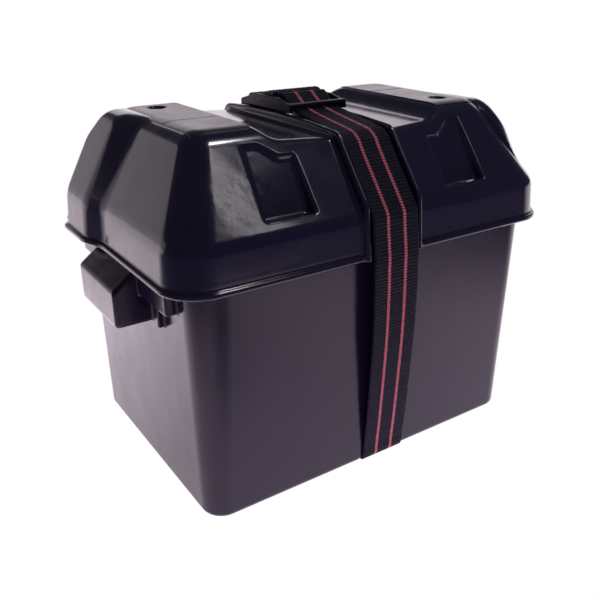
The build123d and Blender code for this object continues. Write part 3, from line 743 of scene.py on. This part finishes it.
def label_field(x, y, z):
    """Two thin label plates on the roofs, each with a groove across it and a hole."""
    u, v = np.abs(x), y * np.sign(x)
    middle, half = (PANEL_X[0] + PANEL_X[1]) / 2, (PANEL_X[1] - PANEL_X[0]) / 2 - 1
    shape = plan(u - middle, y, (half, PANEL_HALF_Y, PANEL_CORNER))
    shape = cut_round(shape, LABEL_HOLE - np.hypot(u + DIMPLE[0], v + DIMPLE[1]), 0.3)
    form = cut_round(shape, slab(lid_roof(x, y, z), -0.5, PANEL_RISE), 0.25)
    groove = cut_round(np.abs(v + LABEL_GROOVE) - 0.45, 0.02 - lid_roof(x, y, z), 0.1)
    return cut_round(form, -groove, 0.15)


for name, low_x in (("label_panel_left", -120.5), ("label_panel_right", 74.5)):
    plate = field_piece(name, label_field, (low_x, -59.5, 248.2), (low_x + 46, 59.5, 254.2),
                        0.4, 60000)
    dress(plate, LABEL, "lid")

# --- webbing -------------------------------------------------------------------------------
SIDE_LINE = [(-112.1, 160.0), (-111.9, 140), (-110.6, 110), (-106.6, 66), (-102.8, 30),
             (-100.5, 12), (-100.2, 5.2), (-98.6, 1.9), (-94, 1.3)]
UPPER_LINE = [(-111.9, 168), (-110.8, 176), (-109.1, 187), (-107.6, 196.6), (-103.4, 202.6),
              (-79.2, 233.2), (-75.0, 239.0), (-69.5, 242.7), (-61, 244.4), (-43, 246.8),
              (-24.4, 249.6)]
IN_BUCKLE = [(-24.2, 249.7), (-19, 250.8), (-14, 252.3), (-4.5, 258.0), (-0.6, 260.3),
             (2.6, 259.4), (4.4, 256.9), (4.9, 254.0), (7.4, 252.1), (15.5, 251.6)]
TO_ANCHOR = [(56, 247.2), (48.0, 249.9), (46.3, 251.4), (46.0, 253.0), (45.0, 254.9),
             (42.5, 255.9)]
WEB_HALF, WEB_HALF_THICK = 19.0, 0.9
WALES = 44
STEP = 0.62


def smooth_line(points, step):
    """A rounded line through points, with its direction, every step along it."""
    p = np.array(points, float)
    chord = np.concatenate([[0], np.cumsum(np.sqrt(np.linalg.norm(np.diff(p, axis=0), axis=1)))])
    tangents = np.zeros_like(p)
    for i in range(len(p)):
        a, b = max(i - 1, 0), min(i + 1, len(p) - 1)
        tangents[i] = (p[b] - p[a]) / (chord[b] - chord[a])
        if 0 < i < len(p) - 1:
            left = (p[i] - p[i - 1]) / (chord[i] - chord[i - 1])
            right = (p[i + 1] - p[i]) / (chord[i + 1] - chord[i])
            share = (chord[i] - chord[i - 1]) / (chord[i + 1] - chord[i - 1])
            tangents[i] = left * (1 - share) + right * share
    fine = []
    for i in range(len(p) - 1):
        h = chord[i + 1] - chord[i]
        for t in np.linspace(0, 1, 60, endpoint=i == len(p) - 2):
            fine.append((2 * t**3 - 3 * t**2 + 1) * p[i] + (t**3 - 2 * t**2 + t) * h * tangents[i]
                        + (-2 * t**3 + 3 * t**2) * p[i + 1] + (t**3 - t**2) * h * tangents[i + 1])
    fine = np.array(fine)
    length = np.concatenate([[0], np.cumsum(np.linalg.norm(np.diff(fine, axis=0), axis=1))])
    count = max(2, int(round(length[-1] / step)))
    at = np.linspace(0, length[-1], count + 1)
    line = np.stack([np.interp(at, length, fine[:, n]) for n in range(p.shape[1])], 1)
    direction = np.gradient(line, axis=0)
    direction /= np.linalg.norm(direction, axis=1, keepdims=True)
    return line, direction, at


def webbing(name, points, flip=1):
    """A woven strap along a (y, z) line: real ribs on both faces and rounded edges."""
    line, direction, at = smooth_line(points, STEP)
    edge = WEB_HALF_THICK
    inner = np.arange(-WEB_HALF + edge, WEB_HALF - edge + 0.01, (WEB_HALF - edge) * 2 / WALES)
    bend = np.array([-0.95, -0.6])
    left = [-WEB_HALF + edge + edge * b for b in bend]
    columns = np.concatenate([left, inner, [-u for u in left[::-1]]])
    over = np.maximum(np.abs(columns) - (WEB_HALF - edge), 0) / edge
    half = edge * np.sqrt(np.maximum(1 - over**2, 0.05))
    normal = np.stack([-direction[:, 1], direction[:, 0]], 1) * flip
    drift = DRIFT * np.clip((DRIFT_TOP - line[:, 1]) / DRIFT_RUN, 0, 1)
    phase = 2 * np.pi * at[:, None] / RIB_PITCH
    row = np.arange(len(columns))[None, :]
    ribs = 0.13 * np.sin(phase + (row % 2) * 0.9) + 0.05 * np.where(row % 2 == 0, 1, -1)
    lift = np.where(over[None, :] > 0, 0.0, ribs)
    grid = []
    for side in (1, -1):
        height = (half[None, :] + lift) * side
        sheet = np.zeros((len(line), len(columns), 3))
        sheet[:, :, 0] = columns[None, :] + drift[:, None]
        sheet[:, :, 1] = line[:, None, 0] + normal[:, None, 0] * height
        sheet[:, :, 2] = line[:, None, 1] + normal[:, None, 1] * height
        grid.append(sheet if side == 1 else sheet[:, ::-1])
    ring = np.concatenate(grid, 1)
    rows, around = ring.shape[:2]
    index = np.arange(rows * around).reshape(rows, around)
    beside = np.roll(index, -1, 1)
    faces = np.stack([index[:-1], beside[:-1], beside[1:], index[1:]], -1).reshape(-1, 4).tolist()
    faces += [index[0, ::-1].tolist(), index[-1].tolist()]
    obj = mesh_of(name, ring.reshape(-1, 3), faces)
    values = {"across": np.concatenate([columns, columns[::-1]])[None, :] + 0 * at[:, None],
              "along": at[:, None] + 0 * np.zeros(around)[None, :]}
    for key, value in values.items():
        layer = obj.data.attributes.new(key, "FLOAT", "POINT")
        layer.data.foreach_set("value", value.astype(np.float32).ravel())
    bm = bmesh.new()
    bm.from_mesh(obj.data)
    bmesh.ops.recalc_face_normals(bm, faces=bm.faces)
    bm.to_mesh(obj.data)
    bm.free()
    return obj


def mirrored(line):
    """A (y, z) line on the other side."""
    return [(-y, z) for y, z in line]


front = webbing("webbing_front", [(0.0, 1.3), (-60, 1.3)] + SIDE_LINE[::-1] + UPPER_LINE)
dress(front, WEB)
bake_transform(front)
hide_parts("strap_under", "strap_front")
back = webbing("webbing_back", [(0.2, 1.3), (60, 1.3)] + mirrored(SIDE_LINE[::-1])
               + mirrored(UPPER_LINE[:-2]) + TO_ANCHOR, -1)
dress(back, WEB)
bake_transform(back)
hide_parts("strap_back")
inner = webbing("webbing_in_buckle", IN_BUCKLE)
dress(inner, WEB, "strap_back")
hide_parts("strap_in_buckle")

# --- stage, light and camera ---------------------------------------------------------------
def glowing(name, tint, strength=0.0):
    """A pale matt stage surface that gives off some light of its own."""
    p = Paint(name, Roughness=0.9, Emission_Color=(*tint, 1), Emission_Strength=strength)
    p.set("Base Color", p.ramp(p.noise(2, 2), [(0.3, (0.8,) * 3), (0.7, (0.816,) * 3)]))
    return p


def white_to_the_camera(tree, kind):
    """Seen directly, a stage surface is plain white; reflections and light are its own."""
    output = next(n for n in tree.nodes if n.type.startswith("OUTPUT"))
    own = output.inputs["Surface"].links[0].from_socket
    white = tree.nodes.new(kind)
    white.inputs["Color"].default_value = (1, 1, 1, 1)
    white.inputs["Strength"].default_value = 1.0
    path, mix = tree.nodes.new("ShaderNodeLightPath"), tree.nodes.new("ShaderNodeMixShader")
    tree.links.new(path.outputs["Is Camera Ray"], mix.inputs[0])
    tree.links.new(own, mix.inputs[1])
    tree.links.new(white.outputs[0], mix.inputs[2])
    tree.links.new(mix.outputs[0], output.inputs["Surface"])


floor_mesh = bpy.data.meshes.new("floor")
floor_mesh.from_pydata([(-6, -6, 0), (6, -6, 0), (6, 6, 0), (-6, 6, 0)], [], [(0, 1, 2, 3)])
floor = new_object("floor", floor_mesh)
floor_paint = glowing("floor", FLOOR_TINT)
place = floor_paint.node("ShaderNodeSeparateXYZ")
floor_paint.link(floor_paint.coordinates, place.inputs[0])
floor_x, floor_y = place.outputs[0], place.outputs[1]


def floor_distance(x, y):
    """The length of (x, y), worked out by nodes of the floor's material."""
    square = [floor_paint.math("POWER", part, 2.0) for part in (x, y)]
    return floor_paint.math("SQRT", floor_paint.math("ADD", *square))


def floor_distance_to(spot):
    """How far a point of the floor is from a spot on it."""
    return floor_distance(floor_paint.math("SUBTRACT", floor_x, spot[0]),
                          floor_paint.math("SUBTRACT", floor_y, spot[1]))


away = floor_distance(floor_paint.math("MULTIPLY", floor_x, GLOW_STRETCH), floor_y)
near_glow = floor_paint.range(away, *GLOW_EDGE, 1.0, 0.0)
shade = floor_paint.range(floor_distance_to(SHADE_AT), *SHADE_EDGE, SHADE_LEAST, 1.0)
behind = floor_paint.range(floor_paint.math(
    "ADD", floor_paint.math("MULTIPLY", floor_x, BEHIND_AXIS[0]),
    floor_paint.math("MULTIPLY", floor_y, BEHIND_AXIS[1])), *BEHIND_EDGE, 0.0, 1.0)
left_glow = floor_paint.range(floor_distance_to(SPOT_AT), *SPOT_EDGE, SPOT_GLOW, 0.0)
floor_paint.set("Emission Strength", floor_paint.math("ADD", floor_paint.math(
    "MAXIMUM", floor_paint.math("MULTIPLY", near_glow, shade), behind), left_glow))
spread = floor_paint.math("MAXIMUM", near_glow, behind)
floor_paint.set("Base Color", floor_paint.mix(spread, (0.5, 0.5, 0.51), (0.85, 0.85, 0.85)))
white_to_the_camera(floor_paint.material.node_tree, "ShaderNodeEmission")
floor.data.materials.append(floor_paint.material)


def backdrop(name, start, end, radius, height, strength):
    """An upright curved card round the back, between two bearings from +Y towards +X."""
    count = 24
    points, faces = [], []
    for i in range(count + 1):
        a = math.radians(start + (end - start) * i / count)
        for z in (0.0, height):
            points.append((radius * math.sin(a), radius * math.cos(a), z))
        if i:
            n = 2 * i
            faces.append((n - 2, n, n + 1, n - 1))
    mesh = bpy.data.meshes.new(name)
    mesh.from_pydata(points, [], faces)
    card = new_object(name, mesh)
    card.data.materials.append(glowing(name, CARD_TINT, strength).material)
    card.visible_camera = False
    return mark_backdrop(card)


backdrop("backdrop_right", *BACK_RIGHT)
backdrop("backdrop_left", *BACK_LEFT)

world = bpy.data.worlds.new("world")
bpy.context.scene.world = world
world.use_nodes = True
background = world.node_tree.nodes["Background"]
background.inputs["Color"].default_value = (0.9, 0.9, 1.0, 1)
background.inputs["Strength"].default_value = WORLD
white_to_the_camera(world.node_tree, "ShaderNodeBackground")


def softbox(name, place, target, size, radiance, colour=(1, 0.985, 0.97)):
    """A rectangular soft light of a given brightness."""
    data = bpy.data.lights.new(name, "AREA")
    data.shape = "RECTANGLE"
    data.size, data.size_y = size
    data.energy = radiance * math.pi * size[0] * size[1]
    data.color = colour
    obj = bpy.data.objects.new(name, data)
    bpy.context.scene.collection.objects.link(obj)
    obj.location = place
    obj.rotation_euler = (Vector(target) - Vector(place)).to_track_quat("-Z", "Y").to_euler()
    return obj


softbox("overhead", *OVERHEAD)
softbox("strip", *STRIP)

camera_data = bpy.data.cameras.new("camera")
camera_data.lens = LENS
camera_data.sensor_width = SENSOR
camera_data.clip_start = 0.01
camera = bpy.data.objects.new("camera", camera_data)
bpy.context.scene.collection.objects.link(camera)
forward = Vector((math.sin(YAW) * math.cos(PITCH), math.cos(YAW) * math.cos(PITCH),
                  -math.sin(PITCH)))
camera.location = CAMERA_AT
turn = forward.to_track_quat("-Z", "Y").to_matrix().to_4x4() @ Matrix.Rotation(ROLL, 4, "Z")
camera.rotation_euler = turn.to_euler()
bpy.context.scene.camera = camera
bpy.context.scene.view_settings.view_transform = "Standard"
